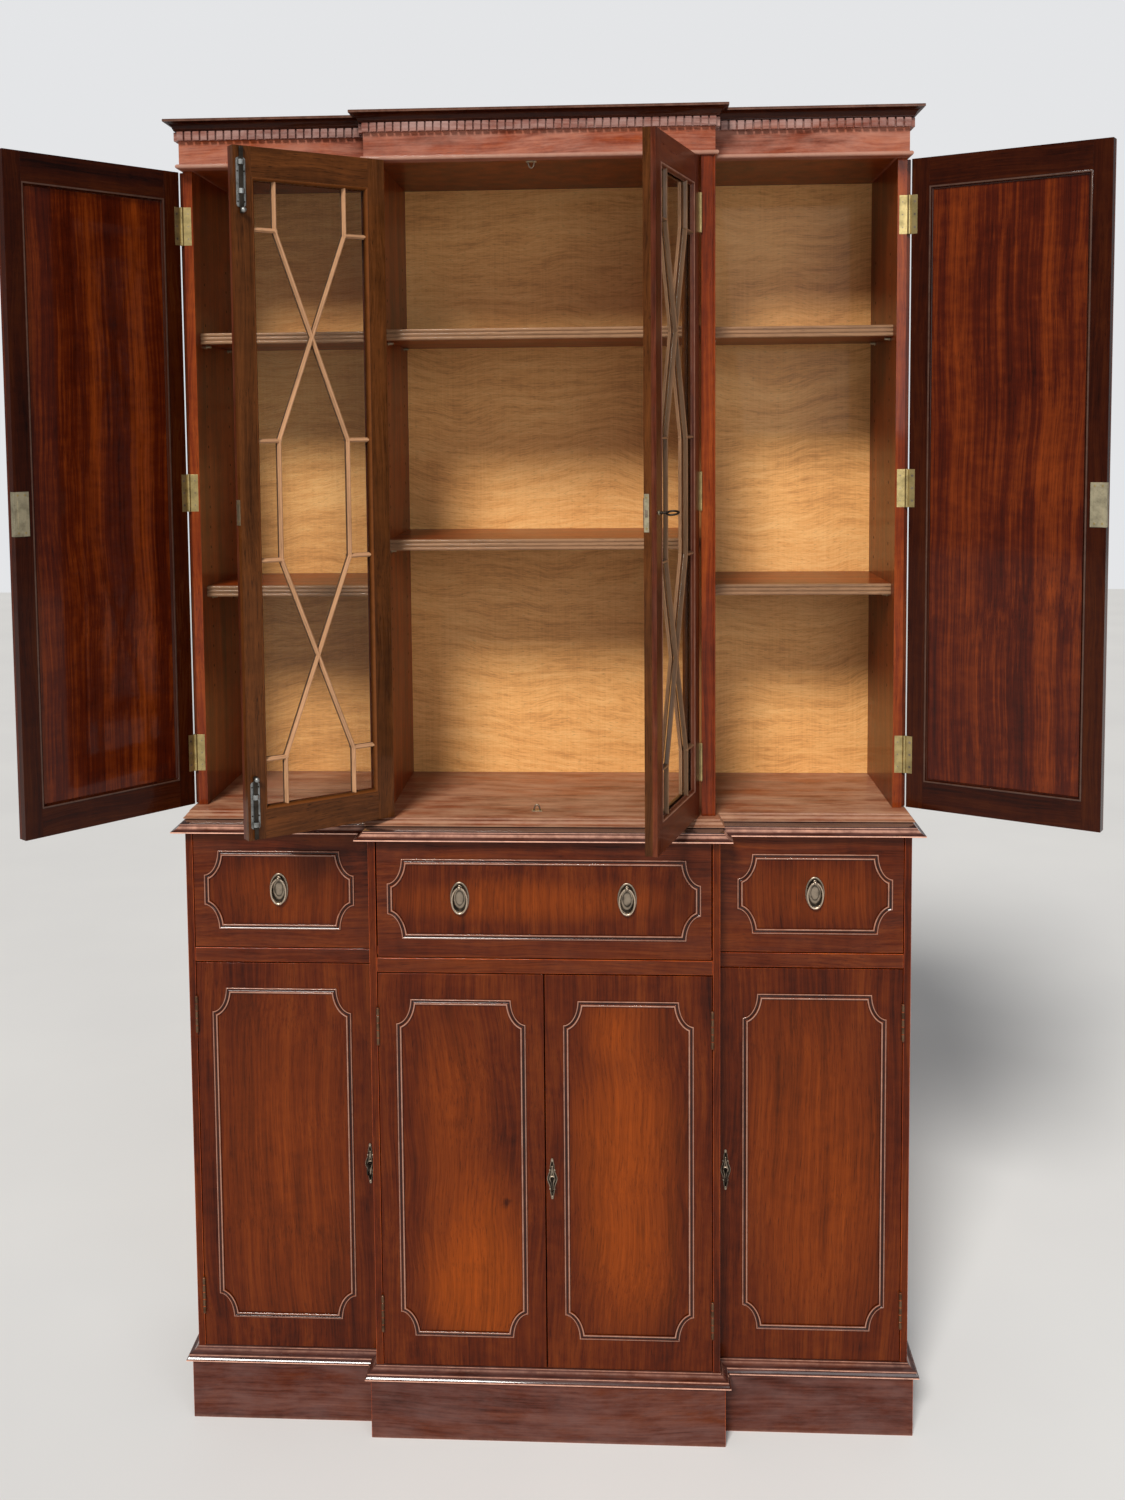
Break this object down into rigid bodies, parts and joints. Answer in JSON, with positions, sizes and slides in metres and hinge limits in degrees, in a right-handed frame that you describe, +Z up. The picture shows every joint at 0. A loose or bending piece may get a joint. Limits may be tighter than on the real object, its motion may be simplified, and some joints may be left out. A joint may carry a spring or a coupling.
{
  "type": "secretary bookcase",
  "caption": "Breakfront bookcase with solid and glazed doors over a cabinet with drawers, cupboards and a fall-front writing drawer.",
  "frame": {"origin": "on the floor under the plinth's middle bearer, midway between the back and the front of the side bays", "axes": "+Z up, the front faces -Y, +X to the right of someone facing the front"},
  "size_m": [1.5722, 0.5303, 2.03],
  "materials": {
    "polished": "polished dark mahogany",
    "panel": "red-brown mahogany",
    "interior": "golden back boards",
    "brass": "aged brass",
    "iron": "dark key iron",
    "glass": "clear old glass"
  },
  "bodies": {
    "carcass": {"plinth": "polished", "base_floor": "polished", "base_side_left": "polished", "base_side_right": "polished", "base_partition_left": "polished", "base_partition_right": "polished", "base_back": "interior", "base_top": "polished", "rail_left": "polished", "rail_right": "polished", "rail_centre": "polished", "bookcase_floor": "panel", "bookcase_side_left": "panel", "bookcase_side_right": "panel", "bookcase_partition_left": "panel", "bookcase_partition_right": "panel", "bookcase_back": "interior", "bookcase_roof": "panel", "frieze": "polished", "dentil_course": "polished", "crown": "polished", "shelf_upper_left": "panel", "shelf_upper_right": "panel", "shelf_upper_centre": "panel", "shelf_lower_left": "panel", "shelf_lower_right": "panel", "shelf_lower_centre": "panel"},
    "side_door_left": {"side_door_left": "polished"},
    "side_door_right": {"side_door_right": "polished"},
    "glazed_door_left": {"glazed_door_left": "polished", "glass_left": "glass"},
    "glazed_door_right": {"glazed_door_right": "polished", "glass_right": "glass"},
    "bolt_top": {"bolt_top": "brass"},
    "bolt_bottom": {"bolt_bottom": "brass"},
    "key_glazed": {"key_glazed": "iron"},
    "lower_door_left": {"lower_door_left": "polished", "escutcheon_left": "brass"},
    "lower_door_right": {"lower_door_right": "polished", "escutcheon_right": "brass"},
    "lower_door_centre_left": {"lower_door_centre_left": "polished"},
    "lower_door_centre_right": {"lower_door_centre_right": "polished", "escutcheon_centre": "brass"},
    "key_left": {"key_left": "iron"},
    "key_right": {"key_right": "iron"},
    "key_centre": {"key_centre": "iron"},
    "drawer_left": {"drawer_left": "polished", "handle_plate_left": "brass"},
    "drawer_right": {"drawer_right": "polished", "handle_plate_right": "brass"},
    "bail_left": {"bail_left": "brass"},
    "bail_right": {"bail_right": "brass"},
    "secretaire": {"secretaire_drawer": "polished", "secretaire_nest": "panel"},
    "fall_front": {"fall_front": "polished", "handle_plate_centre_left": "brass", "handle_plate_centre_right": "brass"},
    "bail_centre_left": {"bail_centre_left": "brass"},
    "bail_centre_right": {"bail_centre_right": "brass"}
  },
  "joints": [
    {"name": "side_door_left_hinge", "type": "hinge", "parent": "carcass", "child": "side_door_left", "pos_m": [-0.5544, -0.08685, 1.463], "axis": [0, 0, -1], "range_deg": [-130, 6.4]},
    {"name": "side_door_right_hinge", "type": "hinge", "parent": "carcass", "child": "side_door_right", "pos_m": [0.5544, -0.08685, 1.463], "axis": [0, 0, 1], "range_deg": [-150, 20]},
    {"name": "glazed_door_left_hinge", "type": "hinge", "parent": "carcass", "child": "glazed_door_left", "pos_m": [-0.23925, -0.1455, 1.463], "axis": [0, 0, -1], "range_deg": [-143, 7]},
    {"name": "glazed_door_right_hinge", "type": "hinge", "parent": "carcass", "child": "glazed_door_right", "pos_m": [0.23925, -0.1455, 1.463], "axis": [0, 0, 1], "range_deg": [-73, 77]},
    {"name": "bolt_top_slide", "type": "slide", "parent": "glazed_door_left", "child": "bolt_top", "axis": [0, 0, 1], "range_m": [0, 0.012]},
    {"name": "bolt_bottom_slide", "type": "slide", "parent": "glazed_door_left", "child": "bolt_bottom", "axis": [0, 0, -1], "range_m": [0, 0.012]},
    {"name": "key_glazed_turn", "type": "hinge", "parent": "glazed_door_right", "child": "key_glazed", "pos_m": [0.17106, -0.35998, 1.443], "axis": [-0.9563, 0.2924, 0], "range_deg": [-75, 105]},
    {"name": "lower_door_left_hinge", "type": "hinge", "parent": "carcass", "child": "lower_door_left", "pos_m": [-0.54325, -0.1575, 0.426], "axis": [0, 0, -1], "range_deg": [0, 110]},
    {"name": "lower_door_right_hinge", "type": "hinge", "parent": "carcass", "child": "lower_door_right", "pos_m": [0.54325, -0.1575, 0.426], "axis": [0, 0, 1], "range_deg": [0, 110]},
    {"name": "lower_door_centre_left_hinge", "type": "hinge", "parent": "carcass", "child": "lower_door_centre_left", "pos_m": [-0.25325, -0.1955, 0.426], "axis": [0, 0, -1], "range_deg": [0, 110]},
    {"name": "lower_door_centre_right_hinge", "type": "hinge", "parent": "carcass", "child": "lower_door_centre_right", "pos_m": [0.25325, -0.1955, 0.426], "axis": [0, 0, 1], "range_deg": [0, 110]},
    {"name": "key_left_turn", "type": "hinge", "parent": "lower_door_left", "child": "key_left", "pos_m": [-0.2755, -0.155, 0.418], "axis": [0, 1, 0], "range_deg": [0, 180]},
    {"name": "key_right_turn", "type": "hinge", "parent": "lower_door_right", "child": "key_right", "pos_m": [0.2755, -0.155, 0.418], "axis": [0, 1, 0], "range_deg": [-180, 0]},
    {"name": "key_centre_turn", "type": "hinge", "parent": "lower_door_centre_right", "child": "key_centre", "pos_m": [0.0102, -0.193, 0.418], "axis": [0, 1, 0], "range_deg": [-180, 0]},
    {"name": "drawer_left_slide", "type": "slide", "parent": "carcass", "child": "drawer_left", "axis": [0, -1, 0], "range_m": [0, 0.22]},
    {"name": "drawer_right_slide", "type": "slide", "parent": "carcass", "child": "drawer_right", "axis": [0, -1, 0], "range_m": [0, 0.22]},
    {"name": "secretaire_slide", "type": "slide", "parent": "carcass", "child": "secretaire", "axis": [0, -1, 0], "range_m": [0, 0.23]},
    {"name": "fall_front_hinge", "type": "hinge", "parent": "secretaire", "child": "fall_front", "pos_m": [0, -0.1875, 0.771], "axis": [1, 0, 0], "range_deg": [0, 90]},
    {"name": "bail_left_hinge", "type": "hinge", "parent": "drawer_left", "child": "bail_left", "pos_m": [-0.41, -0.1609, 0.8705], "axis": [-1, 0, 0], "range_deg": [0, 90]},
    {"name": "bail_right_hinge", "type": "hinge", "parent": "drawer_right", "child": "bail_right", "pos_m": [0.41, -0.1609, 0.8705], "axis": [-1, 0, 0], "range_deg": [0, 90]},
    {"name": "bail_centre_left_hinge", "type": "hinge", "parent": "fall_front", "child": "bail_centre_left", "pos_m": [-0.126, -0.1989, 0.8705], "axis": [-1, 0, 0], "range_deg": [0, 90]},
    {"name": "bail_centre_right_hinge", "type": "hinge", "parent": "fall_front", "child": "bail_centre_right", "pos_m": [0.126, -0.1989, 0.8705], "axis": [-1, 0, 0], "range_deg": [0, 90]}
  ],
  "couplings": [
    {"joint": "side_door_left_hinge", "follows": "glazed_door_left_hinge", "ratio": 0.90909}
  ]
}
